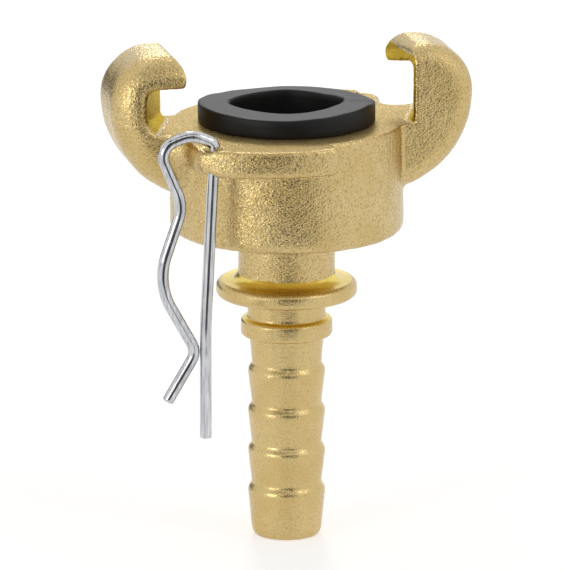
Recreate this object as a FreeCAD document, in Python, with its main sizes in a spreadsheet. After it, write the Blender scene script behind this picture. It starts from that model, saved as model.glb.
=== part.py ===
# Claw hose coupling for half inch air hose, 41 mm claw distance.
# Frame: Z runs up the bore from the end of the hose shank, the claws stand
# along X, millimetres throughout.
import FreeCAD, Part
import math
import os
import Sketcher

os.makedirs("parts", exist_ok=True)
doc = FreeCAD.newDocument("claw_hose_coupling")
sheet = doc.addObject("Spreadsheet::Sheet", "Sizes")

# Driving sizes
SIZES = [
    # Hose shank, measured up from its end
    ("shank_bore_dia", 9.5, "through bore of the shank"),
    ("shank_end_dia", 11.0, "outside at the very end"),
    ("shank_end_bevel", 1.0, "height of the lead-in bevel at the end"),
    ("barb_root_dia", 11.5, "bottom of each barb groove"),
    ("barb_crest_dia", 12.8, "crest of each barb"),
    ("barb_first_height", 8.0, "height of the lowest crest"),
    ("barb_pitch", 6.8, "crest to crest"),
    ("barb_back", 0.9, "height of the steep back of a barb"),
    ("barb_land", 0.35, "flat width of a crest"),
    ("shank_top_dia", 12.3, "plain shank under the ring"),
    # Ring, clamp groove and collar
    ("ring_bottom", 34.4, "underside of the small ring"),
    ("ring_thickness", 2.7, "height of the small ring"),
    ("ring_dia", 15.15, "outside of the small ring"),
    ("ring_bevel", 0.7, "bevels of the small ring"),
    ("groove_width", 4.0, "clear height of the clamp groove"),
    ("groove_dia", 12.9, "bottom of the clamp groove"),
    ("collar_thickness", 2.4, "height of the collar"),
    ("collar_dia", 23.3, "outside of the collar"),
    ("collar_round", 0.6, "rounded edges of the collar"),
    ("neck_dia", 16.0, "neck between collar and head"),
    ("neck_height", 8.5, "collar top to the underside of the head"),
    ("neck_foot_round", 1.8, "fillet of the neck into the collar"),
    ("neck_head_round", 0.8, "fillet of the neck into the head"),
    # Head
    ("drum_dia", 38.5, "outside of the round head"),
    ("drum_height", 18.4, "height of the round head"),
    ("drum_bottom_round", 1.5, "lower edge of the head"),
    ("drum_face_round", 0.5, "upper edge of the head"),
    # Claws
    ("claw_width", 15.5, "width of a claw across its sides"),
    ("claw_reach", 30.3, "axis to the back of a claw"),
    ("claw_height", 13.05, "top of a claw above the face"),
    ("claw_back_round", 8.3, "rounding of the back of a claw in side view"),
    ("claw_crown_length", 1.2, "level top of a claw"),
    ("claw_tip_entry", 12.1, "back of a claw to the end face of its tip, entry side"),
    ("claw_tip_stop", 10.4, "back of a claw to the end face of its tip, stop side"),
    ("claw_nose_height", 8.6, "start of the rounded nose above the face"),
    ("claw_nose_radius", 5.0, "rounding of the nose in side view"),
    ("claw_belly_radius", 16.5, "curve from the back down to the head"),
    ("claw_entry_round", 5.0, "rounded long edge of a claw, entry side"),
    ("claw_stop_round", 3.5, "rounded long edge of a claw, stop side"),
    ("mouth_back_open", 5.1, "back of a claw to the mouth wall where a lug enters"),
    ("mouth_back_closed", 10.9, "back of a claw to the mouth wall where a lug stops"),
    ("mouth_under_open", 7.4, "underside of the tip where a lug enters"),
    ("mouth_under_closed", 10.7, "underside of the tip where a lug stops"),
    ("mouth_foot_open", 2.4, "height of the sloped foot of the wall, entry side"),
    ("mouth_foot_closed", 0.6, "height of the sloped foot, stop side"),
    ("mouth_foot_width", 1.6, "width of the sloped foot"),
    ("mouth_corner", 0.8, "bevel between wall and underside"),
    ("mouth_run_out", 1.0, "run of the mouth cutter past each side"),
    # Cam lugs
    ("lug_thickness", 4.6, "height of a cam lug"),
    ("lug_heel_out", 6.95, "side of the head to the lug edge next to its own claw"),
    ("lug_heel_angle", 43.0, "place of that edge, measured from the claw"),
    ("lug_toe_out", 3.45, "side of the head to the lug edge at its free end"),
    ("lug_toe_angle", 100.0, "place of the free end"),
    ("lug_root_along", 19.0, "inner corner between lug and claw, along the claw"),
    ("lug_root_side", 9.9, "the same corner, sideways"),
    ("lug_root_round", 2.0, "fillet of that corner"),
    ("lug_run_in", 2.0, "run of a lug into the head and the claw"),
    ("lug_side_inset", 0.75, "how far inside the side of its claw a lug ends"),
    ("lug_rim_radius", 25.0, "curve of the lug edge"),
    ("lug_heel_round", 2.0, "rounded corner beside the claw"),
    ("lug_toe_round", 0.8, "rounded corner of the free end"),
    ("lug_edge_round", 0.6, "rounded upper edge of a lug"),
    ("lug_under_round", 1.2, "rounded lower edge of a lug"),
    # Waterway and washer seat
    ("chamber_dia", 17.2, "waterway under the washer"),
    ("chamber_floor", 10.4, "start of the chamber below the face"),
    ("chamber_cone", 6.0, "height of the cone under the chamber"),
    ("neck_way_dia", 11.4, "waterway where that cone ends"),
    ("seat_dia", 25.2, "mouth of the washer seat"),
    ("seat_depth", 5.4, "depth of the washer seat"),
    ("seat_groove_dia", 26.8, "groove that holds the lip of the washer"),
    ("seat_groove_height", 2.4, "height of that groove"),
    # Sealing washer
    ("washer_dia", 29.2, "outside of the washer above the face"),
    ("washer_stand", 3.1, "height of the washer above the face"),
    ("washer_bore_dia", 18.5, "bore of the washer"),
    ("washer_edge_round", 0.3, "rounded edges of the washer"),
    ("washer_side_gap", 0.1, "washer to the side of its seat"),
    ("washer_end_gap", 0.2, "washer lip to the floor and roof of its groove"),
    # Safety clip
    ("clip_wire_dia", 1.9, "wire of the clip"),
    ("clip_hole_gap", 0.4, "wire to the side of its hole"),
    ("clip_hole_out", 4.46, "side of the head to the middle of the hole"),
    ("clip_hole_angle", 47.56, "place of the hole, measured from the claw"),
    ("clip_hole_round", 0.25, "broken edge of the hole"),
]

for row, (alias, value, note) in enumerate(SIZES, start=1):
    sheet.set("A%d" % row, alias)
    sheet.set("B%d" % row, str(value))
    sheet.set("C%d" % row, note)
    sheet.setAlias("B%d" % row, alias)
doc.recompute()


def size(alias):
    """Present value of one size."""
    return float(sheet.get(alias))


def origin_plane(body, role):
    """Origin plane of a body by its role."""
    for item in body.Origin.OriginFeatures:
        if item.Role == role:
            return item
    raise ValueError(role)


def new_body(name):
    """Empty solid body."""
    return doc.addObject("PartDesign::Body", name)


def new_sketch(body, name, role, lift=None):
    """Sketch on an origin plane, lifted along the plane's normal."""
    sketch = body.newObject("Sketcher::SketchObject", name)
    sketch.AttachmentSupport = [(origin_plane(body, role), "")]
    sketch.MapMode = "FlatFace"
    if lift is not None:
        sketch.setExpression("AttachmentOffset.Base.z", lift)
    doc.recompute()
    return sketch


def bind(sketch, constraint, expression):
    """Add a constraint whose value follows the sheet."""
    index = sketch.addConstraint(constraint)
    sketch.setExpression("Constraints[%d]" % index, expression)


def arc_between(start, end, radius, bulge):
    """Minor arc from start to end; bulge is +1 to the left, -1 to the right."""
    chord = end - start
    middle = (start + end) * 0.5
    across = FreeCAD.Vector(-chord.y, chord.x, 0).normalize()
    drop = math.sqrt(radius ** 2 - (chord.Length / 2) ** 2)
    centre = middle - across * drop * bulge
    first = math.atan2(start.y - centre.y, start.x - centre.x)
    last = math.atan2(end.y - centre.y, end.x - centre.x)
    circle = Part.Circle(centre, FreeCAD.Vector(0, 0, 1), radius)
    if bulge > 0:
        return Part.ArcOfCircle(circle, last, first)
    return Part.ArcOfCircle(circle, first, last)


def outline(sketch, corners, arcs=None):
    """Closed outline through corners given as pairs of expressions.

    arcs maps the number of a side to its radius expression and its bulge.
    """
    arcs = arcs or {}
    count = len(corners)
    values = [[float(sketch.evalExpression(text)) for text in pair] for pair in corners]
    points = [FreeCAD.Vector(x, y, 0) for x, y in values]
    starts = []
    ends = []
    for side in range(count):
        start = points[side]
        end = points[(side + 1) % count]
        if side in arcs:
            radius_text, bulge = arcs[side]
            radius = float(sketch.evalExpression(radius_text))
            sketch.addGeometry(arc_between(start, end, radius, bulge), False)
            starts.append(2 if bulge > 0 else 1)
            ends.append(1 if bulge > 0 else 2)
        else:
            sketch.addGeometry(Part.LineSegment(start, end), False)
            starts.append(1)
            ends.append(2)
    for side in range(count):
        following = (side + 1) % count
        sketch.addConstraint(
            Sketcher.Constraint("Coincident", side, ends[side], following, starts[following]))
    for side, (across, up) in enumerate(corners):
        x_value, y_value = values[side]
        bind(sketch, Sketcher.Constraint("DistanceX", -1, 1, side, starts[side], x_value), across)
        bind(sketch, Sketcher.Constraint("DistanceY", -1, 1, side, starts[side], y_value), up)
    for side, (radius_text, bulge) in arcs.items():
        radius = float(sketch.evalExpression(radius_text))
        bind(sketch, Sketcher.Constraint("Radius", side, radius), radius_text)
    doc.recompute()


def revolve(body, name, profile):
    """Full turn of a profile about the vertical axis of its sketch."""
    feature = body.newObject("PartDesign::Revolution", name)
    feature.Profile = profile
    feature.ReferenceAxis = (profile, ["V_Axis"])
    feature.Angle = 360.0
    doc.recompute()
    return feature


def edges_where(feature, test):
    """Names of the edges of a feature that pass a test."""
    names = []
    for number, edge in enumerate(feature.Shape.Edges, start=1):
        if test(edge):
            names.append("Edge%d" % number)
    return names


def dress(body, kind, name, base, test, expression):
    """Fillet or chamfer on the edges of base that pass a test."""
    feature = body.newObject("PartDesign::" + kind, name)
    feature.Base = (base, edges_where(base, test))
    feature.setExpression("Radius" if kind == "Fillet" else "Size", expression)
    doc.recompute()
    return feature


def near(one, two, slack=1e-4):
    """Whether two lengths are the same."""
    return abs(one - two) < slack


def bend_radius(edge):
    """Radius of the circle through three points of an edge, 0 if straight."""
    first = edge.FirstParameter
    third = (edge.LastParameter - first) / 3
    one, two, three = [edge.valueAt(first + step * third) for step in range(3)]
    area = (two - one).cross(three - one).Length / 2
    if area < 1e-9:
        return 0.0
    return (two - one).Length * (three - two).Length * (one - three).Length / (4 * area)


# Heights that several pieces share
RING_TOP = "Sizes.ring_bottom + Sizes.ring_thickness"
COLLAR_BOTTOM = RING_TOP + " + Sizes.groove_width"
COLLAR_TOP = COLLAR_BOTTOM + " + Sizes.collar_thickness"
DRUM_BOTTOM = COLLAR_TOP + " + Sizes.neck_height"
FACE = DRUM_BOTTOM + " + Sizes.drum_height"

ring_top = size("ring_bottom") + size("ring_thickness")
collar_bottom = ring_top + size("groove_width")
collar_top = collar_bottom + size("collar_thickness")
drum_bottom = collar_top + size("neck_height")
face = drum_bottom + size("drum_height")

# Turned form: barbed shank, ring, clamp groove, collar, neck and round head
BARBS = 4
turned = new_body("turned_form")
turned_sketch = new_sketch(turned, "turned_profile", "XZ_Plane")
profile = [("0", "0")]
profile.append(("Sizes.shank_end_dia / 2", "0"))
profile.append(("Sizes.barb_root_dia / 2", "Sizes.shank_end_bevel"))
for barb in range(BARBS):
    crest = "Sizes.barb_first_height + %d * Sizes.barb_pitch" % barb
    profile.append(("Sizes.barb_crest_dia / 2", crest + " - Sizes.barb_land"))
    profile.append(("Sizes.barb_crest_dia / 2", crest))
    profile.append(("Sizes.barb_root_dia / 2", crest + " + Sizes.barb_back"))
profile.append(("Sizes.shank_top_dia / 2", "Sizes.ring_bottom"))
profile.append(("Sizes.ring_dia / 2", "Sizes.ring_bottom"))
profile.append(("Sizes.ring_dia / 2", RING_TOP))
profile.append(("Sizes.groove_dia / 2", RING_TOP))
profile.append(("Sizes.groove_dia / 2", COLLAR_BOTTOM))
profile.append(("Sizes.collar_dia / 2", COLLAR_BOTTOM))
profile.append(("Sizes.collar_dia / 2", COLLAR_TOP))
profile.append(("Sizes.neck_dia / 2", COLLAR_TOP))
profile.append(("Sizes.neck_dia / 2", DRUM_BOTTOM))
profile.append(("Sizes.drum_dia / 2", DRUM_BOTTOM))
profile.append(("Sizes.drum_dia / 2", FACE))
profile.append(("0", FACE))
outline(turned_sketch, profile)
turned_solid = revolve(turned, "turned_solid", turned_sketch)


def ring_edge(radius, height):
    """Test for the circular edge at a radius and height."""
    def test(edge):
        box = edge.BoundBox
        level = box.ZLength < 1e-4 and near(box.ZMin, height)
        return level and near(bend_radius(edge), radius)
    return test


collar_edges = dress(
    turned, "Fillet", "collar_edges", turned_solid,
    lambda edge: ring_edge(size("collar_dia") / 2, collar_bottom)(edge)
    or ring_edge(size("collar_dia") / 2, collar_top)(edge),
    "Sizes.collar_round")
ring_bevels = dress(
    turned, "Chamfer", "ring_bevels", collar_edges,
    lambda edge: ring_edge(size("ring_dia") / 2, size("ring_bottom"))(edge)
    or ring_edge(size("ring_dia") / 2, ring_top)(edge),
    "Sizes.ring_bevel")
neck_foot = dress(
    turned, "Fillet", "neck_foot", ring_bevels,
    ring_edge(size("neck_dia") / 2, collar_top), "Sizes.neck_foot_round")
neck_head = dress(
    turned, "Fillet", "neck_head", neck_foot,
    ring_edge(size("neck_dia") / 2, drum_bottom), "Sizes.neck_head_round")
drum_lower_edge = dress(
    turned, "Fillet", "drum_lower_edge", neck_head,
    ring_edge(size("drum_dia") / 2, drum_bottom), "Sizes.drum_bottom_round")
drum_face_edge = dress(
    turned, "Fillet", "drum_face_edge", drum_lower_edge,
    ring_edge(size("drum_dia") / 2, face), "Sizes.drum_face_round")

# Claws: a slab with a rounded back and nose, cut by a mouth whose wall and
# underside both run askew from the entry side to the stop side
CLAW_TOP = FACE + " + Sizes.claw_height"
CLAW_APEX = "Sizes.claw_reach - Sizes.claw_back_round"
TIP_ENTRY = "(Sizes.claw_reach - Sizes.claw_tip_entry)"
TIP_STOP = "(Sizes.claw_reach - Sizes.claw_tip_stop)"
MOUTH_OPEN = "(Sizes.claw_reach - Sizes.mouth_back_open)"
MOUTH_CLOSED = "(Sizes.claw_reach - Sizes.mouth_back_closed)"


def make_claw(name, turn):
    """One claw, turned about the bore."""
    body = new_body(name)
    side_view = new_sketch(body, name + "_side_view", "XZ_Plane")
    shoulder = CLAW_TOP + " - Sizes.claw_back_round"
    belly_x = "Sizes.claw_reach - Sizes.claw_belly_radius"
    outline(side_view, [
        (TIP_ENTRY, FACE),
        (TIP_ENTRY, FACE + " + Sizes.claw_nose_height"),
        (CLAW_APEX + " - Sizes.claw_crown_length", CLAW_TOP),
        (CLAW_APEX, CLAW_TOP),
        ("Sizes.claw_reach", shoulder),
        (belly_x, shoulder + " - Sizes.claw_belly_radius"),
        (belly_x, FACE),
    ], {
        1: ("Sizes.claw_nose_radius", 1),
        3: ("Sizes.claw_back_round", 1),
        4: ("Sizes.claw_belly_radius", 1),
    })
    slab = body.newObject("PartDesign::Pad", name + "_slab")
    slab.Profile = side_view
    slab.Midplane = True
    slab.setExpression("Length", "Sizes.claw_width")
    doc.recompute()
    half = size("claw_width") / 2

    def long_edge(side):
        """Test for the back and belly edges on one side."""
        def test(edge):
            box = edge.BoundBox
            if box.YLength > 1e-4 or not near(box.YMin, side):
                return False
            bend = bend_radius(edge)
            return near(bend, size("claw_back_round")) or near(bend, size("claw_belly_radius"))
        return test

    entry_edge = dress(
        body, "Fillet", name + "_entry_edge", slab, long_edge(half), "Sizes.claw_entry_round")
    dress(
        body, "Fillet", name + "_stop_edge", entry_edge, long_edge(-half),
        "Sizes.claw_stop_round")

    # The end face of the tip runs askew in plan, as the mouth wall does
    tip_plan = new_sketch(
        body, name + "_tip_plan", "XY_Plane", CLAW_TOP + " + Sizes.mouth_run_out")
    beyond = "(%s - %s) * Sizes.mouth_run_out / Sizes.claw_width" % (TIP_STOP, TIP_ENTRY)
    side = "Sizes.claw_width / 2 + Sizes.mouth_run_out"
    outline(tip_plan, [
        (TIP_ENTRY + " - Sizes.claw_tip_stop", side),
        (TIP_ENTRY + " - Sizes.claw_tip_stop", "-" + side.replace("+", "-")),
        (TIP_STOP + " + " + beyond, "-" + side.replace("+", "-")),
        (TIP_ENTRY + " - " + beyond, side),
    ])
    tip = body.newObject("PartDesign::Pocket", name + "_tip")
    tip.Profile = tip_plan
    tip.setExpression("Length", "Sizes.claw_height + Sizes.mouth_run_out")
    doc.recompute()
    closed = new_sketch(body, name + "_mouth_stop_side", "XZ_Plane",
                        "Sizes.claw_width / 2 + Sizes.mouth_run_out")
    opened = new_sketch(body, name + "_mouth_entry_side", "XZ_Plane",
                        "-Sizes.claw_width / 2 - Sizes.mouth_run_out")
    sides = (
        (closed, "closed", "open", MOUTH_CLOSED, MOUTH_OPEN),
        (opened, "open", "closed", MOUTH_OPEN, MOUTH_CLOSED),
    )
    for sketch, this, other, wall_here, wall_there in sides:
        share = "Sizes.mouth_run_out / Sizes.claw_width"
        wall = "(%s + (%s - %s) * %s)" % (wall_here, wall_here, wall_there, share)
        under = "(Sizes.mouth_under_%s + (Sizes.mouth_under_%s - Sizes.mouth_under_%s) * %s)" % (
            this, this, other, share)
        inner = TIP_ENTRY + " - Sizes.mouth_run_out"
        outline(sketch, [
            (inner, FACE),
            (wall + " - Sizes.mouth_foot_width", FACE),
            (wall, FACE + " + Sizes.mouth_foot_" + this),
            (wall, FACE + " + " + under + " - Sizes.mouth_corner"),
            (wall + " - Sizes.mouth_corner", FACE + " + " + under),
            (inner, FACE + " + " + under),
        ])
    mouth = body.newObject("PartDesign::SubtractiveLoft", name + "_mouth")
    mouth.Profile = closed
    mouth.Sections = [opened]
    mouth.Ruled = True
    doc.recompute()
    body.Placement = FreeCAD.Placement(
        FreeCAD.Vector(0, 0, 0), FreeCAD.Rotation(FreeCAD.Vector(0, 0, 1), turn))
    print(name, "mouth takes away", round(tip.Shape.Volume - mouth.Shape.Volume, 1), "cubic mm")
    return body


claw_right = make_claw("claw_right", 0)
claw_left = make_claw("claw_left", 180)


# Cam lugs: a flat lug beside each claw, widest at its heel, bored for the clip
def polar(radius, angle):
    """Pair of expressions for a point at a radius and angle from the claw."""
    return ("(%s) * cos(%s * 1 deg)" % (radius, angle),
            "(%s) * sin(%s * 1 deg)" % (radius, angle))


LUG_SIDE = "Sizes.claw_width / 2 - Sizes.lug_side_inset"
LUG_TOE = "Sizes.drum_dia / 2 + Sizes.lug_toe_out"
LUG_HEEL = "Sizes.drum_dia / 2 + Sizes.lug_heel_out"
CLIP_HOLE = "Sizes.drum_dia / 2 + Sizes.clip_hole_out"
lug_toe = size("drum_dia") / 2 + size("lug_toe_out")
lug_heel = size("drum_dia") / 2 + size("lug_heel_out")
clip_hole = size("drum_dia") / 2 + size("clip_hole_out")


def make_lug(name, turn):
    """One cam lug, turned about the bore."""
    body = new_body(name)
    plan = new_sketch(body, name + "_plan", "XY_Plane", FACE + " - Sizes.lug_thickness")
    outline(plan, [
        polar("Sizes.seat_groove_dia / 2 + Sizes.lug_run_in", "Sizes.lug_toe_angle"),
        polar(LUG_TOE, "Sizes.lug_toe_angle"),
        polar(LUG_HEEL, "Sizes.lug_heel_angle"),
        ("Sizes.lug_root_along", "Sizes.lug_root_side"),
        (MOUTH_OPEN + " - Sizes.lug_run_in", LUG_SIDE),
        ("Sizes.seat_groove_dia / 2 + Sizes.lug_run_in", LUG_SIDE),
    ], {1: ("Sizes.lug_rim_radius", 1)})
    plate = body.newObject("PartDesign::Pad", name + "_plate")
    plate.Profile = plan
    plate.setExpression("Length", "Sizes.lug_thickness")
    doc.recompute()

    def upright_at(radius=None, angle=None, spot=None):
        """Test for the upright edge at a place in plan."""
        if spot is None:
            turned_by = math.radians(angle)
            spot = (radius * math.cos(turned_by), radius * math.sin(turned_by))

        def test(edge):
            box = edge.BoundBox
            if box.ZLength < 1.0:
                return False
            return near(box.XMin, spot[0], 0.01) and near(box.YMin, spot[1], 0.01)
        return test

    toe = dress(body, "Fillet", name + "_toe", plate,
                upright_at(lug_toe, size("lug_toe_angle")),
                "Sizes.lug_toe_round")
    heel = dress(body, "Fillet", name + "_heel", toe,
                 upright_at(lug_heel, size("lug_heel_angle")),
                 "Sizes.lug_heel_round")
    root = dress(body, "Fillet", name + "_root", heel,
                 upright_at(spot=(size("lug_root_along"), size("lug_root_side"))),
                 "Sizes.lug_root_round")

    upper = dress(body, "Fillet", name + "_upper_edge", root,
                  ring_edge(size("lug_rim_radius"), face),
                  "Sizes.lug_edge_round")
    lower = dress(body, "Fillet", name + "_lower_edge", upper,
                  ring_edge(size("lug_rim_radius"), face - size("lug_thickness")),
                  "Sizes.lug_under_round")
    hole_plan = new_sketch(body, name + "_hole_plan", "XY_Plane", FACE)
    across, along = polar(CLIP_HOLE, "Sizes.clip_hole_angle")
    hole_x = float(hole_plan.evalExpression(across))
    hole_y = float(hole_plan.evalExpression(along))
    hole_radius = size("clip_wire_dia") / 2 + size("clip_hole_gap")
    hole_plan.addGeometry(
        Part.Circle(FreeCAD.Vector(hole_x, hole_y, 0), FreeCAD.Vector(0, 0, 1), hole_radius),
        False)
    bind(hole_plan, Sketcher.Constraint("DistanceX", -1, 1, 0, 3, hole_x), across)
    bind(hole_plan, Sketcher.Constraint("DistanceY", -1, 1, 0, 3, hole_y), along)
    bind(hole_plan, Sketcher.Constraint("Radius", 0, hole_radius),
         "Sizes.clip_wire_dia / 2 + Sizes.clip_hole_gap")
    doc.recompute()
    hole = body.newObject("PartDesign::Pocket", name + "_hole")
    hole.Profile = hole_plan
    hole.Type = "ThroughAll"
    doc.recompute()
    drilled = lower.Shape.Volume - hole.Shape.Volume
    print(name, "hole takes away", round(drilled, 2), "cubic mm")
    dress(body, "Fillet", name + "_hole_edges", hole,
          lambda edge: ring_edge(hole_radius, face)(edge)
          or ring_edge(hole_radius, face - size("lug_thickness"))(edge),
          "Sizes.clip_hole_round")
    body.Placement = FreeCAD.Placement(
        FreeCAD.Vector(0, 0, 0), FreeCAD.Rotation(FreeCAD.Vector(0, 0, 1), turn))
    return body


lug_right = make_lug("lug_right", 0)
lug_left = make_lug("lug_left", 180)

# Waterway: drilled shank bore, cored cones, chamber and the undercut seat of
# the washer. The drilled bore ends under the collar, where the wall is thin.
waterway = new_body("waterway")
waterway_sketch = new_sketch(waterway, "waterway_profile", "XZ_Plane")
SEAT_FLOOR = FACE + " - Sizes.seat_depth"
CHAMBER_FLOOR = FACE + " - Sizes.chamber_floor"
outline(waterway_sketch, [
    ("0", "0"),
    ("Sizes.shank_bore_dia / 2", "0"),
    ("Sizes.shank_bore_dia / 2", COLLAR_BOTTOM),
    ("Sizes.neck_way_dia / 2", CHAMBER_FLOOR + " - Sizes.chamber_cone"),
    ("Sizes.chamber_dia / 2", CHAMBER_FLOOR),
    ("Sizes.chamber_dia / 2", SEAT_FLOOR),
    ("Sizes.seat_groove_dia / 2", SEAT_FLOOR),
    ("Sizes.seat_groove_dia / 2", SEAT_FLOOR + " + Sizes.seat_groove_height"),
    ("Sizes.seat_dia / 2", SEAT_FLOOR + " + Sizes.seat_groove_height"),
    ("Sizes.seat_dia / 2", FACE),
    ("0", FACE),
])
revolve(waterway, "waterway_solid", waterway_sketch)

# The casting: one piece of brass
casting = doc.addObject("Part::MultiFuse", "casting")
casting.Shapes = [turned, claw_right, claw_left, lug_right, lug_left]
doc.recompute()
coupling_body = doc.addObject("Part::Cut", "coupling_body")
coupling_body.Base = casting
coupling_body.Tool = waterway
coupling_body.Label = "coupling_body"
doc.recompute()

# Sealing washer: a thick rubber ring that lies on the face, with a neck and
# a lip that snap into the undercut seat
washer = new_body("sealing_washer")
washer.Label = "sealing_washer"
washer_sketch = new_sketch(washer, "washer_profile", "XZ_Plane")
NECK_RADIUS = "(Sizes.seat_dia / 2 - Sizes.washer_side_gap)"
LIP_RADIUS = "(Sizes.seat_groove_dia / 2 - Sizes.washer_side_gap)"
LIP_TOP = SEAT_FLOOR + " + Sizes.seat_groove_height - Sizes.washer_end_gap"
LIP_BOTTOM = SEAT_FLOOR + " + Sizes.washer_end_gap"
outline(washer_sketch, [
    ("Sizes.washer_bore_dia / 2", LIP_BOTTOM),
    (LIP_RADIUS, LIP_BOTTOM),
    (LIP_RADIUS, LIP_TOP),
    (NECK_RADIUS, LIP_TOP),
    (NECK_RADIUS, FACE),
    ("Sizes.washer_dia / 2", FACE),
    ("Sizes.washer_dia / 2", FACE + " + Sizes.washer_stand"),
    ("Sizes.washer_bore_dia / 2", FACE + " + Sizes.washer_stand"),
])
washer_solid = revolve(washer, "washer_solid", washer_sketch)
washer_top = face + size("washer_stand")
dress(washer, "Fillet", "washer_edges", washer_solid,
      lambda edge: ring_edge(size("washer_dia") / 2, washer_top)(edge)
      or ring_edge(size("washer_bore_dia") / 2, washer_top)(edge),
      "Sizes.washer_edge_round")

# Safety clip: one length of spring wire, bent in one plane. Its straight leg
# hangs through the hole of a lug, a bow crosses the rim of the lug, and the
# wavy leg springs back against the straight one. Each bend is given by the
# corner that its two straight runs would meet in: away from the hole, above
# the face, and the radius of the bend.
BENDS = [
    ("leg_end", 1.42, -48.4, 0),
    ("leg_lean", 1.42, -30.0, 120.0),
    ("bow_start", -0.15, 0.75, 1.2),
    ("bow_top", 3.6, 2.5, 5.0),
    ("bow_end", 9.15, 0.45, 2.7),
    ("first_dip", 5.1, -9.4, 6.5),
    ("belly", 9.5, -22.1, 11.0),
    ("second_dip", 2.93, -33.95, 3.0),
    ("wave_end", 7.75, -42.0, 0),
]


def bent_wire(bends):
    """Straight runs and tangent arcs through a list of bends, as curves."""
    corners = [FreeCAD.Vector(across, up, 0) for label, across, up, radius in bends]
    curves = []
    here = corners[0]
    for index in range(1, len(bends) - 1):
        label, across, up, radius = bends[index]
        corner = corners[index]
        arriving = (corner - corners[index - 1]).normalize()
        leaving = (corners[index + 1] - corner).normalize()
        turn = arriving.getAngle(leaving)
        tangent = radius * math.tan(turn / 2)
        bend_start = corner - arriving * tangent
        bend_end = corner + leaving * tangent
        inward = (leaving - arriving).normalize()
        centre = corner + inward * (radius / math.cos(turn / 2))
        middle = centre - inward * radius
        curves.append(Part.LineSegment(here, bend_start))
        curves.append(Part.Arc(bend_start, middle, bend_end))
        here = bend_end
    curves.append(Part.LineSegment(here, corners[-1]))
    return curves


clip = new_body("safety_clip")
clip.Label = "safety_clip"
clip_path = new_sketch(clip, "clip_path", "XZ_Plane")
for curve in bent_wire(BENDS):
    clip_path.addGeometry(curve, False)
doc.recompute()
leg_end_across = BENDS[0][1]
leg_end_up = BENDS[0][2]
wire_section = new_sketch(clip, "wire_section", "XY_Plane", str(leg_end_up))
wire_section.addGeometry(
    Part.Circle(FreeCAD.Vector(leg_end_across, 0, 0), FreeCAD.Vector(0, 0, 1),
                size("clip_wire_dia") / 2), False)
bind(wire_section, Sketcher.Constraint("Diameter", 0, size("clip_wire_dia")),
     "Sizes.clip_wire_dia")
doc.recompute()
wire = clip.newObject("PartDesign::AdditivePipe", "clip_wire")
wire.Profile = wire_section
wire.Spine = (clip_path, [])
doc.recompute()
hole_turn = math.radians(180 + size("clip_hole_angle"))
clip.Placement = FreeCAD.Placement(
    FreeCAD.Vector(clip_hole * math.cos(hole_turn), clip_hole * math.sin(hole_turn), face),
    FreeCAD.Rotation(FreeCAD.Vector(0, 0, 1), 180))
doc.recompute()

length = sum(curve.length() for curve in bent_wire(BENDS))
section = math.pi * (size("clip_wire_dia") / 2) ** 2
print("clip volume", round(clip.Shape.Volume, 2), "expected", round(length * section, 2))

# Check every object, then write the sub-parts
for item in doc.Objects:
    if "Invalid" in item.State or "Error" in item.State:
        raise RuntimeError("%s failed: %s" % (item.Name, item.State))
for item in (coupling_body, washer, clip):
    shape = item.Shape
    if shape.isNull() or not shape.isValid():
        raise RuntimeError("%s has no valid shape" % item.Label)
    print(item.Label, "solids", len(shape.Solids), "volume", round(shape.Volume, 1))
    shape.exportStep("parts/%s.step" % item.Label)
box = coupling_body.Shape.BoundBox
print("coupling_body", [round(value, 2) for value in (
    box.XMin, box.YMin, box.ZMin, box.XMax, box.YMax, box.ZMax)])
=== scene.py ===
# %% [markdown]
# A claw hose coupling. One half of a quick-acting air line coupling: a sand-cast
# brass head with two hooked claws, a black rubber washer in its face, a turned
# and barbed shank for the hose, and a bent wire clip that hangs in one lug.
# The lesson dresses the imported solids: it keeps their sizes and adds the cast
# skin, the turned rings, the leaning rubber and the bright wire. Sizes are in
# millimetres where nothing else is said.

# %% Load the frame
import math

import bmesh
import bpy
import numpy as np
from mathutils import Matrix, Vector, noise
from mathutils.geometry import intersect_point_line


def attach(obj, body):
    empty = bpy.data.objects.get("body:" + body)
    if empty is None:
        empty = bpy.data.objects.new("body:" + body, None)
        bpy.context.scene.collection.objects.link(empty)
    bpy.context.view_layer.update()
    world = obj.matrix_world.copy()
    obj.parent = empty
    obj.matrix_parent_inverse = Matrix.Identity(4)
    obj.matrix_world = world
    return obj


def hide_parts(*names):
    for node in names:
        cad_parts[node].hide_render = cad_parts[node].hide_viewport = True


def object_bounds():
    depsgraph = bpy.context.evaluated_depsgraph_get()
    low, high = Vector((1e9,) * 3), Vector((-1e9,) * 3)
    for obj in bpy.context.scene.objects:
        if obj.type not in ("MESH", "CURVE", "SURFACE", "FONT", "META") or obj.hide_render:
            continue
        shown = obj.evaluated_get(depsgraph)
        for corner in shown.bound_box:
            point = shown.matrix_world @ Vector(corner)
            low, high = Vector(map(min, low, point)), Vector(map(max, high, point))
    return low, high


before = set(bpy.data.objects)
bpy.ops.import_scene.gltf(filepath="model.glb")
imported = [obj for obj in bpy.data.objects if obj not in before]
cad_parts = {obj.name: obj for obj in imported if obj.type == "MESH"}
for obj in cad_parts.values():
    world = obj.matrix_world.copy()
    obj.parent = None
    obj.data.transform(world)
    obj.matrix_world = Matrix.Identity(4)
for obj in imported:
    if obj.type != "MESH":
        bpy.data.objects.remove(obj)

MM = 0.001
cad_box = [list(corner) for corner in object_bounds()]
print("solids:", sorted(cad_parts))

# %% [markdown]
# The camera stands far off with a long lens, a little above the object and
# turned so that the left claw is nearer. These few numbers were found by
# fitting the measured rims and claws to the picture. For camera, cards and lamps
# a heading is counted in degrees from the front towards +X.

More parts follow.
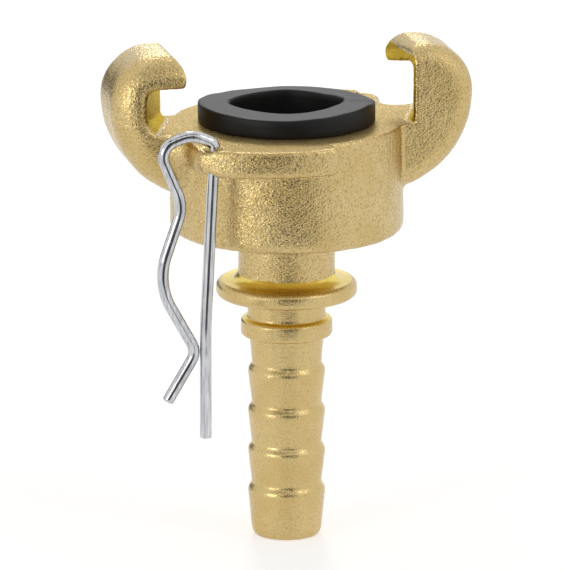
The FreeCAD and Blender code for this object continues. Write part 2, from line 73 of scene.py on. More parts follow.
# %% Camera
CAMERA_HEADING = -12.5
CAMERA_RISE = 14.0
CAMERA_AWAY = 1500 * MM
AIM_HEIGHT = 42.4 * MM
SENSOR_WIDTH = 36
FOCAL_LENGTH = 573.16
PICTURE_SHIFT = -0.0028
FARTHEST_VIEW = 20000 * MM


def direction(heading, rise):
    """Unit vector towards a heading and a rise above level, in degrees."""
    heading = math.radians(heading)
    rise = math.radians(rise)
    return Vector((math.sin(heading) * math.cos(rise), -math.cos(heading) * math.cos(rise),
                   math.sin(rise)))


def put(name, data):
    """New object in the scene that holds the data."""
    thing = bpy.data.objects.new(name, data)
    bpy.context.scene.collection.objects.link(thing)
    return thing


aim = Vector((0, 0, AIM_HEIGHT))
towards_camera = direction(CAMERA_HEADING, CAMERA_RISE)
camera = put("camera", bpy.data.cameras.new("camera"))
camera.location = aim + towards_camera * CAMERA_AWAY
camera.rotation_euler = towards_camera.to_track_quat("Z", "Y").to_euler()
camera.data.sensor_width = SENSOR_WIDTH
camera.data.lens = FOCAL_LENGTH
camera.data.shift_x = PICTURE_SHIFT
camera.data.clip_end = FARTHEST_VIEW
bpy.context.scene.camera = camera
bpy.context.scene.view_settings.view_transform = "Standard"
print("camera at", [round(value / MM) for value in camera.location], "mm")

# %% [markdown]
# A few small helpers serve every material. One turns a colour picked in
# sRGB into the linear values that a shader needs. One adds a node, fills in its
# settings and joins it to the nodes before it. The others start a material and
# set the stops of a colour ramp.

# %% Colour and node helpers
def linear(code):
    """Linear RGBA from an sRGB hex code."""
    parts = [int(code[place:place + 2], 16) / 255 for place in (1, 3, 5)]
    return [part / 12.92 if part <= 0.04045 else ((part + 0.055) / 1.055) ** 2.4
            for part in parts] + [1.0]


def add(tree, kind, settings=None, **inputs):
    """Node of a kind; inputs go by name, or as _2 for socket 2, to a value or a link."""
    node = tree.nodes.new("ShaderNode" + kind)
    for name, value in (settings or {}).items():
        setattr(node, name, value)
    for name, value in inputs.items():
        number = name[1:]
        socket = node.inputs[int(number) if number.isdigit() else name.replace("_", " ")]
        if isinstance(value, bpy.types.NodeSocket):
            tree.links.new(value, socket)
        else:
            socket.default_value = value
    return node


def new_material(name):
    """Material and its empty node tree."""
    material = bpy.data.materials.new(name)
    material.use_nodes = True
    material.node_tree.nodes.clear()
    return material, material.node_tree


def stops(node, *pairs):
    """Set the stops of a colour ramp from (place, colour) pairs."""
    ramp = node.color_ramp
    while len(ramp.elements) < len(pairs):
        ramp.elements.new(0.5)
    for element, (place, colour) in zip(ramp.elements, pairs):
        element.position = place
        element.color = colour
    return node


print("middle grey #808080 is", round(linear("#808080")[0], 3), "in linear light")

# %% [markdown]
# Cast brass. The head is poured in a sand mould, then tumbled, so its skin is a
# field of tiny rounded grains about 0.4 mm across over softer dents some two
# millimetres wide. Polished grains mirror the bright room, and the pits between
# them stay dull and brown. The grain comes from bump, the colour in the pits
# from the same noise, and the metal keeps the default IOR.
# One recipe gives four finishes: the glossy tumbled skin, the turned shank with
# its shallow grain, the mouths that no tumbling reaches, and the dull flat face.
# On the last two an edge tint keeps the metal yellow in a flat view, where a
# clean mirror would turn white. In the mouths the deeper yellow skin and that
# tint are painted reflection of the light that bounces between the brass walls.
# On the face the darker skin and its tint are painted shade against the glare
# of the lamp behind.

# %% Cast brass
GRAIN = 0.37
DENT = 2.2
DENT_HEIGHT = 0.08
STAIN = 9
PIT_DULLNESS = 0.12


def brass(name, grain_height, gloss, pit_share, skin=("#C8AF76", "#D1BA86"), pit="#8A6E36",
          edge="#FFFFFF"):
    """Cast brass: grain_height in mm, gloss as roughness, pit_share 0 to 1."""
    material, tree = new_material(name)
    place = add(tree, "TexCoord").outputs["Object"]
    grain = add(tree, "TexNoise", Vector=place, Scale=1 / (GRAIN * MM), Detail=2.0,
                Roughness=0.55, Distortion=0.5).outputs["Fac"]
    dents = add(tree, "TexNoise", Vector=place, Scale=1 / (DENT * MM), Detail=2.0,
                Roughness=0.5).outputs["Fac"]
    stain = add(tree, "TexNoise", Vector=place, Scale=1 / (STAIN * MM), Detail=3.0,
                Roughness=0.6).outputs["Fac"]
    above_pits = stops(add(tree, "ValToRGB", Fac=grain),
                       (0.34, (0, 0, 0, 1)), (0.50, (1, 1, 1, 1))).outputs["Color"]
    pit_colour = add(tree, "Mix", {"data_type": "RGBA"}, _0=1 - pit_share,
                     _6=linear(pit), _7=linear(skin[0])).outputs[2]
    clean = stops(add(tree, "ValToRGB", Fac=stain),
                  (0.35, linear(skin[0])), (0.65, linear(skin[1]))).outputs["Color"]
    colour = add(tree, "Mix", {"data_type": "RGBA"}, _0=above_pits, _6=pit_colour,
                 _7=clean).outputs[2]
    shine = add(tree, "MapRange", Value=grain, _1=0.35, _2=0.65,
                _3=gloss + PIT_DULLNESS, _4=gloss).outputs[0]
    low = add(tree, "Bump", Strength=0.7, Distance=DENT_HEIGHT * MM, Height=dents).outputs[0]
    fine = add(tree, "Bump", Strength=1.0, Distance=grain_height * MM, Height=grain,
               Normal=low).outputs[0]
    metal = add(tree, "BsdfPrincipled", Base_Color=colour, Metallic=1.0, Roughness=shine,
                Specular_Tint=linear(edge), Normal=fine)
    add(tree, "OutputMaterial", Surface=metal.outputs[0])
    return material


cast_brass = brass("sand_cast_tumbled_brass", 0.15, 0.17, 0.35)
turned_brass = brass("turned_tumbled_brass", 0.06, 0.22, 0.12)
# Mouth finish: rougher unpolished metal, with a deeper yellow skin and yellow edge tint that are
# painted reflection of the brass walls around it
mouth_reflection_brass = brass("unpolished_brass_painted_reflection", 0.09, 0.34, 0.35,
                    skin=("#CAA542", "#D6B34F"), pit="#6E5220", edge="#FFFCB8")
# Face finish: coarser, duller grain of the flat face, with a darker skin and pale edge tint that
# are painted shade against the glare of the lamp behind
face_brass_painted_shade = brass("dull_face_brass_painted_shade", 0.30, 0.33, 0.4,
                   skin=("#B49E6C", "#C0AA76"), pit="#77623A", edge="#F6F0DC")
print("brass finishes:", cast_brass.name, turned_brass.name, mouth_reflection_brass.name, face_brass_painted_shade.name)

# %% [markdown]
# Machined brass. The top of the collar, the hollow foot of the neck and the top
# of the small ring are faced on a lathe and stay smooth. Fresh cut metal is a
# cleaner yellow than the tumbled skin, and its reflections run in long bands.
# The real tool marks are about a tenth of a millimetre apart, too fine to show,
# so the noise that softens the bands is drawn coarser than they are.

# %% Machined brass
TOOL_MARK = 0.7
TOOL_MARK_HEIGHT = 0.02


def machined_brass(name):
    """Bright yellow brass as the facing tool leaves it."""
    material, tree = new_material(name)
    place = add(tree, "TexCoord").outputs["Object"]
    marks = add(tree, "TexNoise", Vector=place, Scale=1 / (TOOL_MARK * MM),
                Detail=3.0).outputs["Fac"]
    colour = stops(add(tree, "ValToRGB", Fac=marks),
                   (0.3, linear("#E2C85E")), (0.7, linear("#EED674"))).outputs["Color"]
    fine = add(tree, "Bump", Strength=0.4, Distance=TOOL_MARK_HEIGHT * MM,
               Height=marks).outputs[0]
    metal = add(tree, "BsdfPrincipled", Base_Color=colour, Metallic=1.0, Roughness=0.26,
                Normal=fine)
    add(tree, "OutputMaterial", Surface=metal.outputs[0])
    return material


faced_brass = machined_brass("lathe_faced_brass")
print("machined finish:", faced_brass.name)

# %% [markdown]
# Moulded rubber. Nitrile rubber from a mould is almost black and matte, with
# a slightly greyer dusty bloom here and there. Its soft sheen is what makes the
# flat top look grey and the rim black. IOR 1.52 is usual for it. The pebble that
# the mould leaves is finer than it is drawn here, so that it shows at all.

# %% Rubber
PEBBLE = 0.5
PEBBLE_HEIGHT = 0.03
BLOOM = 6


def rubber(name):
    """Matte black rubber with a faint bloom and a fine pebble."""
    material, tree = new_material(name)
    place = add(tree, "TexCoord").outputs["Object"]
    pebble = add(tree, "TexNoise", Vector=place, Scale=1 / (PEBBLE * MM),
                 Detail=2.0).outputs["Fac"]
    bloom = add(tree, "TexNoise", Vector=place, Scale=1 / (BLOOM * MM),
                Detail=3.0).outputs["Fac"]
    colour = stops(add(tree, "ValToRGB", Fac=bloom),
                   (0.35, linear("#0A0A0B")), (0.7, linear("#121213"))).outputs["Color"]
    fine = add(tree, "Bump", Strength=0.5, Distance=PEBBLE_HEIGHT * MM,
               Height=pebble).outputs[0]
    skin = add(tree, "BsdfPrincipled", Base_Color=colour, Roughness=0.52, IOR=1.52,
               Specular_IOR_Level=0.3, Normal=fine)
    add(tree, "OutputMaterial", Surface=skin.outputs[0])
    return material


moulded_rubber = rubber("moulded_nitrile_rubber")
print("rubber finish:", moulded_rubber.name)

# %% [markdown]
# Zinc-plated spring wire. Drawing leaves faint lines along the wire, so the
# noise is stretched upwards. The real lines are finer than a pixel and are drawn
# coarser. The bright plating over them is nearly a mirror with a blue-white
# cast: it shows crisp dark and white streaks.

# %% Plated wire
SCUFF = 0.35
SCUFF_HEIGHT = 0.01
STRETCHED = (1.0, 1.0, 0.08)


def plated_wire(name):
    """Bright zinc plate with faint scuffs along the wire."""
    material, tree = new_material(name)
    place = add(tree, "TexCoord").outputs["Object"]
    long_way = add(tree, "Mapping", Vector=place, Scale=STRETCHED).outputs[0]
    lines = add(tree, "TexNoise", Vector=long_way, Scale=1 / (SCUFF * MM),
                Detail=3.0).outputs["Fac"]
    colour = stops(add(tree, "ValToRGB", Fac=lines),
                   (0.3, linear("#A6A8AB")), (0.7, linear("#D8D9DC"))).outputs["Color"]
    shine = add(tree, "MapRange", Value=lines, _3=0.05, _4=0.12).outputs[0]
    fine = add(tree, "Bump", Strength=0.3, Distance=SCUFF_HEIGHT * MM, Height=lines).outputs[0]
    metal = add(tree, "BsdfPrincipled", Base_Color=colour, Metallic=1.0, Roughness=shine,
                Normal=fine)
    add(tree, "OutputMaterial", Surface=metal.outputs[0])
    return material


zinc_wire = plated_wire("zinc_plated_spring_wire")
print("wire finish:", zinc_wire.name)

# %% [markdown]
# The cast head. Its solid is exact and sharp, and sand casting is neither. A
# voxel remesh turns it into even small quads, and a few smoothing passes round
# every edge the way the sand does. The remesh also merges the sharp inner
# corners into the small fillets that poured metal leaves.

# %% Head mesh
FACE = 70.4
VOXEL = 0.335
SMOOTHING = 6
WELD = 0.0001

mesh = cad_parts["coupling_body"].data.copy()
mesh.materials.clear()
shell = bmesh.new()
shell.from_mesh(mesh)
bmesh.ops.remove_doubles(shell, verts=shell.verts, dist=WELD * MM)
shell.to_mesh(mesh)
shell.free()
head = put("cast_head", mesh)
remesh = head.modifiers.new("even_skin", "REMESH")
remesh.mode = "VOXEL"
remesh.voxel_size = VOXEL * MM
remesh.use_smooth_shade = True
soften = head.modifiers.new("sand_edges", "SMOOTH")
soften.factor = 0.5
soften.iterations = SMOOTHING
bpy.context.view_layer.update()
graph = bpy.context.evaluated_depsgraph_get()
even_mesh = bpy.data.meshes.new_from_object(head.evaluated_get(graph))
head.modifiers.clear()
head.data = even_mesh
bpy.data.meshes.remove(mesh)
print("head faces after the remesh:", len(head.data.polygons))

# %% [markdown]
# The collar, the rings and the shank are cut on a lathe and come out rounder
# and cleaner than any even mesh. So the head ends in the foot of its neck, where
# the tool stopped, and the turned end takes over from there.

# %% Cut off what the lathe makes
COLLAR_TOP = 43.5
NECK_CUT = COLLAR_TOP + 1.3

shell = bmesh.new()
shell.from_mesh(head.data)
parts = list(shell.verts) + list(shell.edges) + list(shell.faces)
bmesh.ops.bisect_plane(shell, geom=parts, plane_co=(0, 0, NECK_CUT * MM),
                       plane_no=(0, 0, 1), clear_inner=True, dist=WELD * MM)
print("head vertices after the cut:", len(shell.verts))

# %% [markdown]
# Some places on a real casting are much rounder than a drawing shows: the lip
# of the mouth where the other lug slides in, and the corners where a lug grows
# out of its claw. Smoothing only the skin near a few lines melts those places
# together and leaves the rest crisp. Both claws get it, a half turn apart.

# %% Melt the lips and corners
PULL = 0.6
# Start and end of each line, how far it reaches and how many passes it gets
MELTED = {
    "side lip of the mouth": ((25.2, 7.6, 73.0), (25.2, 7.6, 77.4), 2.6, 40),
    "roof lip of the mouth": ((24.7, 7.6, 77.8), (19.5, 7.6, 77.8), 2.0, 25),
    "corner of lug and claw": ((19.0, 9.9, 66.0), (19.0, 9.9, FACE), 4.5, 60),
    "heel of the lug": ((19.2, 17.9, 66.2), (19.2, 17.9, 70.0), 3.5, 40),
}


def ease(shell, start, end, reach, passes):
    """Smooth the skin within reach of a line, in mm, on both claws."""
    for side in (1, -1):
        ends = [Vector((side * x, side * y, z)) for x, y, z in (start, end)]
        chosen = []
        for vertex in shell.verts:
            place = vertex.co / MM
            spot, share = intersect_point_line(place, *ends)
            if share < 0 or share > 1:
                spot = ends[0] if share < 0 else ends[1]
            gap = (place - spot).length / reach
            if gap < 1:
                rim = [edge.other_vert(vertex) for edge in vertex.link_edges]
                chosen.append((vertex, rim, PULL * (1 - gap * gap)))
        for _ in range(passes):
            targets = [sum((v.co for v in rim), Vector()) / len(rim) for _, rim, _ in chosen]
            for (vertex, rim, share), target in zip(chosen, targets):
                vertex.co = vertex.co.lerp(target, share)


for start, end, reach, passes in MELTED.values():
    ease(shell, start, end, reach, passes)
print("melted on both claws:", ", ".join(MELTED))

# %% [markdown]
# Sand prints its own unevenness on the metal. Slow noise pushes the skin in and
# out by a few hundredths of a millimetre, and quicker noise by half of that.
# The seat of the washer stays true, and nothing leaves the box of the solids.
# Last, the cut edge is tucked down into the turned foot of the neck.

# %% Roughen the skin
SLOW_NOISE = 3.1
SLOW_HEIGHT = 0.07
QUICK_NOISE = 0.9
QUICK_HEIGHT = 0.035
QUICK_SHIFT = Vector((7, 3, 5))
SEAT_REACH = 15.0
SEAT_LOW = 69
SEAT_HIGH = 76
TUCK = 0.3

shell.normal_update()
low_corner, high_corner = [Vector(corner) for corner in cad_box]
for vertex in shell.verts:
    place = vertex.co / MM
    near_bore = place.x ** 2 + place.y ** 2 <= SEAT_REACH ** 2
    if not (near_bore and SEAT_LOW <= place.z <= SEAT_HIGH):
        slow = noise.noise(place / SLOW_NOISE) * SLOW_HEIGHT
        quick = noise.noise(place / QUICK_NOISE + QUICK_SHIFT) * QUICK_HEIGHT
        vertex.co += vertex.normal * (slow + quick) * MM
    for axis in range(3):
        vertex.co[axis] = min(max(vertex.co[axis], low_corner[axis]), high_corner[axis])
for vertex in shell.verts:
    if vertex.is_boundary and vertex.co.z < (NECK_CUT + TUCK) * MM:
        vertex.co.z -= TUCK * MM
shell.to_mesh(head.data)
shell.free()
print("skin roughened by up to", round(SLOW_HEIGHT + QUICK_HEIGHT, 3), "mm")

# %% [markdown]
# The head carries three of the brass finishes. The walls and roofs of the two
# mouths are unpolished and take painted reflection, the level face round the
# washer is dull and takes painted shade, and all the rest is tumbled. Each face
# of the mesh is sorted by its place and its slope.

# %% Finish the head
MOUTH_SIDE = 8
MOUTH_INNER = 17
MOUTH_LOW = 70.6
MOUTH_HIGH = 81.5
LOOKS_IN = 0.55
LOOKS_DOWN = -0.6
LOOKS_UP = 0.985
FINISHES = [cast_brass, mouth_reflection_brass, face_brass_painted_shade]


def count_triangles(piece):
    """Triangles that a piece's faces make."""
    return sum(len(polygon.vertices) - 2 for polygon in piece.data.polygons)


for finish in FINISHES:
    head.data.materials.append(finish)
for polygon in head.data.polygons:
    polygon.use_smooth = True
    slope = polygon.normal
    middle = polygon.center / MM
    inward = -(slope.x * middle.x + slope.y * middle.y) / math.hypot(middle.x, middle.y)
    in_mouth = (abs(middle.y) < MOUTH_SIDE and abs(middle.x) > MOUTH_INNER
                and MOUTH_LOW < middle.z < MOUTH_HIGH)
    # Walls and roofs of the mouths take the finish with painted reflection
    if in_mouth and (inward > LOOKS_IN or slope.z < LOOKS_DOWN):
        polygon.material_index = FINISHES.index(mouth_reflection_brass)
    # The level face round the washer takes the finish with painted shade
    elif slope.z > LOOKS_UP and FACE - 0.5 < middle.z < FACE + 0.6:
        polygon.material_index = FINISHES.index(face_brass_painted_shade)
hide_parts("coupling_body")
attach(head, "coupling")
print("head triangles:", count_triangles(head))

# %% [markdown]
# Three pieces are swept: the turned end, the washer and the wire. Each is a row
# of rings joined by quads, so one helper joins rings and another makes the
# object. A profile for the lathe is walked in even steps and smoothed a little,
# because tumbling rounds the crests of the barbs too, then spun about the bore.

# %% Ring and lathe helpers
LATHE_NOISE = 1.3


def join_rings(rings, count, closed=False):
    """Quads between rings of count points; closed joins the last to the first."""
    faces = []
    for ring in range(rings if closed else rings - 1):
        here = ring * count
        there = (ring + 1) % rings * count
        for index in range(count):
            after = (index + 1) % count
            faces.append((here + index, here + after, there + after, there + index))
    return faces


def mesh_piece(name, verts, faces, smooth=True):
    """New object from points in metres and faces."""
    mesh = bpy.data.meshes.new(name)
    mesh.from_pydata(verts, [], faces)
    for polygon in mesh.polygons:
        polygon.use_smooth = smooth
    return put(name, mesh)


def walk(profile, step, passes):
    """Even steps along a profile of (radius, height), corners smoothed."""
    points = []
    for (r0, z0), (r1, z1) in zip(profile, profile[1:]):
        count = max(1, round(math.dist((r0, z0), (r1, z1)) / step))
        for index in range(count):
            share = index / count
            points.append((r0 + (r1 - r0) * share, z0 + (z1 - z0) * share))
    points.append(profile[-1])
    points = np.array(points)
    for _ in range(passes):
        points[1:-1] = points[1:-1] * 0.5 + (points[:-2] + points[2:]) * 0.25
    return points


def spin(name, points, sides, rough):
    """Surface of revolution with a little unevenness, in mm."""
    verts = []
    for radius, height in points:
        for index in range(sides):
            turn = 2 * math.pi * index / sides
            spot = Vector((radius * math.cos(turn), radius * math.sin(turn), height))
            bump = noise.noise(spot / LATHE_NOISE) * rough
            verts.append((spot + Vector((spot.x, spot.y, 0)).normalized() * bump) * MM)
    return mesh_piece(name, verts, join_rings(len(points), sides))


print("two rings of three points make the quads", join_rings(2, 3))

# %% [markdown]
# The turned end. The profile runs down the bore, round the end of the shank and
# back up over four barbs, the small ring, the clamp groove and the collar, to
# the hollow foot of the neck. The tops of the collar and ring keep the bright
# faced finish, and the rest has been tumbled with the casting.

# %% Shank, ring, groove and collar
BORE = 4.75
BORE_BEVEL = 0.3
SHANK_END = 5.5
END_ROUND = 0.35
LEAD_IN = 1.0
CREST = 6.4
ROOT = 5.75
FIRST_CREST = 8.0
PITCH = 6.8
BARB_LAND = 0.35
BARB_BACK = 0.9
SHANK_TOP = 6.15
RING = 7.57
RING_BOTTOM = 34.1
RING_TOP = 37.1
RING_BEVEL = 0.35
GROOVE = 6.45
GROOVE_BEVEL = 0.5
COLLAR = 11.65
COLLAR_BOTTOM = 40.75
COLLAR_ROUND = 0.6
COLLAR_FACED = 10.7
NECK = 8.0
FOOT_ROUND = 1.8
TUCK_IN = 0.4

profile = [(BORE, NECK_CUT), (BORE, END_ROUND), (BORE + BORE_BEVEL, 0.0),
           (SHANK_END - END_ROUND, 0.0), (SHANK_END, END_ROUND), (ROOT, LEAD_IN)]
for barb in range(4):
    crest = FIRST_CREST + barb * PITCH
    profile += [(CREST, crest - BARB_LAND), (CREST, crest), (ROOT, crest + BARB_BACK)]
profile += [
    (SHANK_TOP, RING_BOTTOM), (RING - RING_BEVEL, RING_BOTTOM), (RING, RING_BOTTOM + RING_BEVEL),
    (RING, RING_TOP - RING_BEVEL), (RING - RING_BEVEL, RING_TOP), (GROOVE, RING_TOP + 0.05),
    (GROOVE, COLLAR_BOTTOM - GROOVE_BEVEL), (GROOVE + GROOVE_BEVEL, COLLAR_BOTTOM),
    (COLLAR - COLLAR_ROUND, COLLAR_BOTTOM), (COLLAR, COLLAR_BOTTOM + COLLAR_ROUND),
    (COLLAR, COLLAR_TOP - COLLAR_ROUND), (COLLAR - COLLAR_ROUND, COLLAR_TOP),
]
for slant in range(0, 90, 15):
    profile.append((NECK + FOOT_ROUND * (1 - math.sin(math.radians(slant))),
                    COLLAR_TOP + FOOT_ROUND * (1 - math.cos(math.radians(slant)))))
profile.append((NECK - TUCK_IN, NECK_CUT + TUCK_IN))
shank = spin("turned_shank", walk(profile, step=0.25, passes=2), sides=128, rough=0.03)
shank.data.materials.append(turned_brass)
shank.data.materials.append(faced_brass)
for polygon in shank.data.polygons:
    middle = polygon.center / MM
    reach = math.hypot(middle.x, middle.y)
    # A face counts as faced metal when its middle lies near the tool's path
    on_collar = middle.z > COLLAR_TOP - 0.25 and NECK - 0.5 < reach < COLLAR_FACED
    on_ring = abs(middle.z - RING_TOP) < 0.15 and reach > GROOVE + 0.05
    polygon.material_index = 1 if on_collar or on_ring else 0
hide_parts("coupling_body")
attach(shank, "coupling")
print("shank triangles:", count_triangles(shank))

# %% [markdown]
# The washer. It is a soft moulded ring, pressed by hand into its groove, so
# nothing about it is quite round or flat: the bore is drawn out to a lens, the
# far rim sits low and the near right rim stands up. Sections that each lean on
# a short table of heights show that better than a lathe could. Below the face
# each section has the neck and lip that hold the washer in its seat.

# %% Washer section
WASHER_OUTER = 14.6
WASHER_TOP = 73.5
WASHER_NECK = 12.5
WASHER_LIP = 13.3
LIP_BOTTOM = FACE - 5.2
LIP_TOP = FACE - 3.2
LENS_LONG = 9.4
LENS_WIDE = 8.6
LENS_POWER = 1.65
LENS_ENDS = 0.25
TOP_STEPS = 9
SOFT_EDGE = [(0.0, 1.2), (0.0, 0.3), (0.1, 0.08), (0.35, 0.0)]
RIM_HEIGHT = [0, -0.45, -0.5, -0.55, -0.6, -0.75, -0.6, -0.2, 0.1, 0.3, 0.2, 0, 0, 0.2, 0.45, 0.6]
BORE_HEIGHT = [0.5, 0.2, 0, 0, 0, 0, 0, 0, 0, 0, 0, 0, 0, 0, 0.1, 0.3]


def round_table(values, turn):
    """Smooth value from a table of even steps round a full turn."""
    spot = turn / (2 * math.pi) * len(values)
    first = int(math.floor(spot))
    share = spot - first
    share = share * share * (3 - 2 * share)
    low = values[first % len(values)]
    high = values[(first + 1) % len(values)]
    return low + (high - low) * share


def lens_bore(turn):
    """Half width of the lens-shaped bore at a turn."""
    bore = ((abs(math.cos(turn)) / LENS_LONG) ** LENS_POWER
            + (abs(math.sin(turn)) / LENS_WIDE) ** LENS_POWER) ** (-1 / LENS_POWER)
    return min(bore + LENS_ENDS * (1 - abs(math.sin(2 * turn))), LENS_LONG)


def washer_section(turn):
    """Closed outline of (radius, height), up the bore and down the outside."""
    bore = lens_bore(turn)
    outer = WASHER_OUTER
    lip = WASHER_TOP + round_table(BORE_HEIGHT, turn)
    rim = WASHER_TOP + round_table(RIM_HEIGHT, turn)
    section = [(bore, LIP_BOTTOM), (bore, LIP_BOTTOM + 0.3), (bore, FACE - 3), (bore, FACE)]
    section += [(bore + inset, lip - drop) for inset, drop in SOFT_EDGE]
    edge = SOFT_EDGE[-1][0]
    for step in range(1, TOP_STEPS):
        share = step / TOP_STEPS
        section.append((bore + edge + (outer - edge - bore - edge) * share,
                        lip + (rim - lip) * share))
    section += [(outer - inset, rim - drop) for inset, drop in reversed(SOFT_EDGE)]
    section += [(outer, FACE + 1), (outer, FACE + 0.3), (outer - 0.1, FACE + 0.08),
                (outer - edge, FACE + 0.02), (WASHER_NECK, FACE + 0.02), (WASHER_NECK, LIP_TOP),
                (WASHER_LIP, LIP_TOP), (WASHER_LIP, LIP_BOTTOM)]
    return section


print("points in one section:", len(washer_section(0)))

# %% [markdown]
# The sections are set round a full turn and the last is joined to the first, so
# the washer is one closed skin. The long way of its bore is turned a little, to
# lie square to the camera, and slow noise keeps the moulded edge from looking
# machined.

# %% Washer
WASHER_TURN = math.radians(12.5)
WASHER_NOISE = 4
WASHER_ROUGH = 0.08


def washer_ring(name, sides):
    """Washer made of swept sections."""
    verts = []
    for index in range(sides):
        turn = 2 * math.pi * index / sides
        section = washer_section(turn)
        heading = turn - WASHER_TURN
        for radius, height in section:
            spot = Vector((radius * math.cos(heading), radius * math.sin(heading), height))
            outward = Vector((spot.x, spot.y, 0)).normalized()
            spot += outward * noise.noise(spot / WASHER_NOISE) * WASHER_ROUGH
            verts.append(spot * MM)
    return mesh_piece(name, verts, join_rings(sides, len(section), closed=True))


washer = washer_ring("rubber_washer", sides=160)
washer.data.materials.append(moulded_rubber)
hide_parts("sealing_washer")
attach(washer, "coupling")
print("washer stands", round(WASHER_TOP - FACE, 2), "mm above the face")

# %% [markdown]
# The clip is one bent wire, with a straight leg through the hole of the lug and
# a wavy one outside. Its centre line is the same chain of straight runs and
# bends that the maker's bending jig gives: each bend is a corner with a radius,
# and an arc takes the corner's place.

# %% Centre line of the clip
HOLE = Vector((-16.0, -17.5, FACE))
# Across from the hole, up from the face and radius, for each end and bend
BENDS = [
    (1.42, -48.4, 0), (1.42, -30.0, 120.0), (-0.15, 0.75, 1.2), (3.6, 2.5, 5.0),
    (9.15, 0.45, 2.7), (5.1, -9.4, 6.5), (9.5, -22.1, 11.0), (2.93, -33.95, 3.0),
    (7.75, -42.0, 0),
]


def wire_line(bends, step):
    """Points every step mm along straight runs and tangent arcs."""
    corners = [Vector((across, up)) for across, up, radius in bends]
    points = [corners[0]]

    def run_to(spot):
        gap = spot - points[-1]
        count = max(1, round(gap.length / step))
        start = points[-1].copy()
        for index in range(1, count + 1):
            points.append(start + gap * (index / count))

    for index in range(1, len(bends) - 1):
        corner = corners[index]
        radius = bends[index][2]
        arriving = (corner - corners[index - 1]).normalized()
        leaving = (corners[index + 1] - corner).normalized()
        turn = arriving.angle(leaving)
        tangent = radius * math.tan(turn / 2)
        run_to(corner - arriving * tangent)
        centre = corner + (leaving - arriving).normalized() * radius / math.cos(turn / 2)
        spoke = points[-1] - centre
        side = 1 if arriving.x * leaving.y - arriving.y * leaving.x > 0 else -1
        count = max(2, round(radius * turn / step))
        for part in range(1, count + 1):
            angle = side * turn * part / count
            points.append(centre + Vector((
                spoke.x * math.cos(angle) - spoke.y * math.sin(angle),
                spoke.x * math.sin(angle) + spoke.y * math.cos(angle))))
    run_to(corners[-1])
    return points


line = wire_line(BENDS, step=0.35)
length = sum((after - before).length for before, after in zip(line, line[1:]))
print("the clip takes", round(length, 1), "mm of wire")

# %% [markdown]
# A circle swept along that line makes the wire, with rings close enough that the
# bends stay round. The cut ends get the small flat with a sloping edge that side
# cutters leave.

# %% Clip
WIRE = 1.9
WIRE_NOISE = 2.5
WIRE_ROUGH = 0.012
CUT_WIDTH = 0.8
CUT_HEIGHT = 0.12


def sweep_wire(name, line, sides):
    """Round wire along a flat line, its ends cut by side cutters."""
    spots = [HOLE + Vector((-point.x, 0, point.y)) for point in line]
    across = Vector((0, 1, 0))
    verts = []
    for index, spot in enumerate(spots):
        before = spots[max(0, index - 1)]
        after = spots[min(len(spots) - 1, index + 1)]
        outward = (after - before).normalized().cross(across)
        for step in range(sides):
            turn = 2 * math.pi * step / sides
            spoke = across * math.cos(turn) + outward * math.sin(turn)
            rough = noise.noise((spot + spoke) / WIRE_NOISE) * WIRE_ROUGH
            verts.append((spot + spoke * (WIRE / 2 + rough)) * MM)
    faces = join_rings(len(spots), sides)
    for end, inside in ((0, 1), (len(spots) - 1, len(spots) - 2)):
        middle = spots[end]
        ahead = (middle - spots[inside]).normalized()
        ring = range(end * sides, end * sides + sides)
        cut = range(len(verts), len(verts) + sides)
        for corner in ring:
            spoke = Vector(verts[corner]) / MM - middle
            verts.append((middle + spoke * CUT_WIDTH + ahead * CUT_HEIGHT) * MM)
        for step in range(sides):
            after = (step + 1) % sides
            faces.append((ring[step], ring[after], cut[after], cut[step]))
        faces.append(list(cut))
    piece = mesh_piece(name, verts, faces)
    skin = bmesh.new()
    skin.from_mesh(piece.data)
    bmesh.ops.recalc_face_normals(skin, faces=skin.faces)
    skin.to_mesh(piece.data)
    skin.free()
    for polygon in piece.data.polygons:
        polygon.use_smooth = len(polygon.vertices) == 4
    return piece


clip = sweep_wire("wire_clip", line, sides=24)
clip.data.materials.append(zinc_wire)
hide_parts("safety_clip")
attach(clip, "clip")
print("clip triangles:", count_triangles(clip))

# %% [markdown]
# The floor is a wide pale sheet. To the camera and in the metal's reflections
# it shows as white paper, because it glows a little for those rays alone, and
# it still takes the soft shadow.

# %% Floor
PAPER_GLOW = 0.5


def seen_white(tree):
    """1 for camera, mirror and glass rays, and 0 for the light that falls on things."""
    rays = add(tree, "LightPath")
    seen = add(tree, "Math", {"operation": "MAXIMUM"}, _0=rays.outputs["Is Camera Ray"],
               _1=rays.outputs["Is Glossy Ray"])
    return add(tree, "Math", {"operation": "MAXIMUM"}, _0=seen.outputs[0],
               _1=rays.outputs["Is Transmission Ray"]).outputs[0]


bpy.ops.mesh.primitive_circle_add(vertices=96, radius=4.0, fill_type="NGON")
floor = bpy.context.object
floor.name = "floor"
paper, tree = new_material("matt_white_paper")
sheet = add(tree, "BsdfPrincipled", Base_Color=linear("#EDEDED"), Roughness=0.9)
glow = add(tree, "Emission", Color=(1, 1, 1, 1), Strength=PAPER_GLOW)
both = add(tree, "AddShader", _0=sheet.outputs[0], _1=glow.outputs[0])
choice = add(tree, "MixShader", _0=seen_white(tree), _1=sheet.outputs[0], _2=both.outputs[0])
add(tree, "OutputMaterial", Surface=choice.outputs[0])
floor.data.materials.append(paper)
print("floor is", round(floor.dimensions.x, 1), "m wide")

# %% [markdown]
# The room. The world shows as a white backdrop to the camera and to the metal,
# and lights everything else like a dim grey room, so that the lamps can shape
# the object.

# %% World
ROOM_LIGHT = 0.45

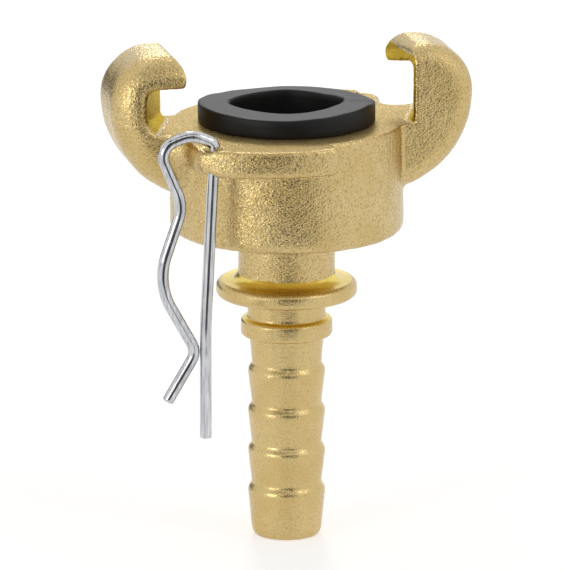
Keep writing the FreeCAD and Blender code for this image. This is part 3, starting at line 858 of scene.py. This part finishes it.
world = bpy.data.worlds.new("studio")
bpy.context.scene.world = world
world.use_nodes = True
tree = world.node_tree
tree.nodes.clear()
white = add(tree, "Background", Color=(1, 1, 1, 1), Strength=1.0)
dim = add(tree, "Background", Color=(1, 1, 1, 1), Strength=ROOM_LIGHT)
choice = add(tree, "MixShader", _0=seen_white(tree), _1=dim.outputs[0], _2=white.outputs[0])
add(tree, "OutputWorld", Surface=choice.outputs[0])
print(world.name, "room light:", ROOM_LIGHT)

# %% [markdown]
# Bright metal in an all-white room looks like chalk, so a studio sets dark
# cards where the metal can see them. Only reflections see these. A fan of card
# starts on the table in front of the shank, widens away from it and rises
# behind the camera: it gives the wire its dark streak and the grain its
# contrast. Three small cards hang behind, high on the left and high in front,
# and darken the claws' backs and the slopes that look up.

# %% Dark cards
# Distance in front, left edge, right edge and height of each row, in metres
FAN = [
    (0.165, -0.085, 0.035, 0.0006), (0.26, -0.14, 0.07, 0.0006), (0.33, -0.17, 0.03, 0.0006),
    (1.5, -0.80, 0.38, 0.0006), (1.75, -0.95, 0.50, 0.9),
]


def dark_card(name, corners, faces, colour):
    """Card of dark cloth that only reflections see."""
    card = mesh_piece(name, corners, faces, smooth=False)
    card.visible_camera = False
    card.visible_diffuse = False
    card.visible_shadow = False
    card.visible_transmission = False
    material, tree = new_material(name)
    cloth = add(tree, "BsdfPrincipled", Base_Color=linear(colour), Roughness=1.0)
    add(tree, "OutputMaterial", Surface=cloth.outputs[0])
    card.data.materials.append(material)
    return card


def hanging_card(name, heading, rise, away, width, height, colour):
    """Dark card that hangs round the object and faces it, sizes in metres."""
    out = direction(heading, rise)
    across = direction(heading + 90, 0)
    upward = across.cross(-out)
    corners = [aim + out * away + across * side * width / 2 + upward * up * height / 2
               for side, up in ((-1, -1), (1, -1), (1, 1), (-1, 1))]
    card = dark_card(name, corners, [(0, 1, 2, 3)], colour)
    return card


fan_corners = [(edge, -away, up) for away, left, right, up in FAN for edge in (left, right)]
fan_faces = [(2 * row, 2 * row + 1, 2 * row + 3, 2 * row + 2) for row in range(len(FAN) - 1)]
card = dark_card("dark_card", fan_corners, fan_faces, "#606060")
hung = [
    hanging_card("back_card", -156, 3, 0.5, 0.34, 0.13, "#484848"),
    hanging_card("left_high_card", -42, 52, 0.9, 0.34, 0.26, "#484848"),
    hanging_card("front_high_card", 10, 60, 0.9, 0.56, 0.22, "#3C3C3C"),
]
print("dark cards:", card.name, *[piece.name for piece in hung])

# %% [markdown]
# Three soft boxes light the scene. The small bright one behind and above makes
# the highlights on the claws and the pale top of the washer, the large one on
# the left lifts the left claw and the drum, and the weak one on the right fills.

# %% Lamps
def soft_box(name, heading, rise, width, height, brightness):
    """Lamp a metre from the object, aimed at it; brightness 1 shows as white."""
    away = direction(heading, rise)
    lamp = bpy.data.lights.new(name, "AREA")
    lamp.shape = "RECTANGLE"
    lamp.size = width
    lamp.size_y = height
    lamp.energy = brightness * math.pi * width * height
    box = put(name, lamp)
    box.location = aim + away
    box.rotation_euler = away.to_track_quat("Z", "Y").to_euler()


soft_box("back_top_box", 170, 36, 0.17, 0.155, 16.5)
soft_box("left_box", -57, 10, 0.32, 0.30, 5.0)
soft_box("right_high_box", 48, 40, 0.30, 0.30, 1.8)
print("lamps:", [lamp.name for lamp in bpy.data.lights])

# %% Print the sizes and finish
print("cad box", cad_box)
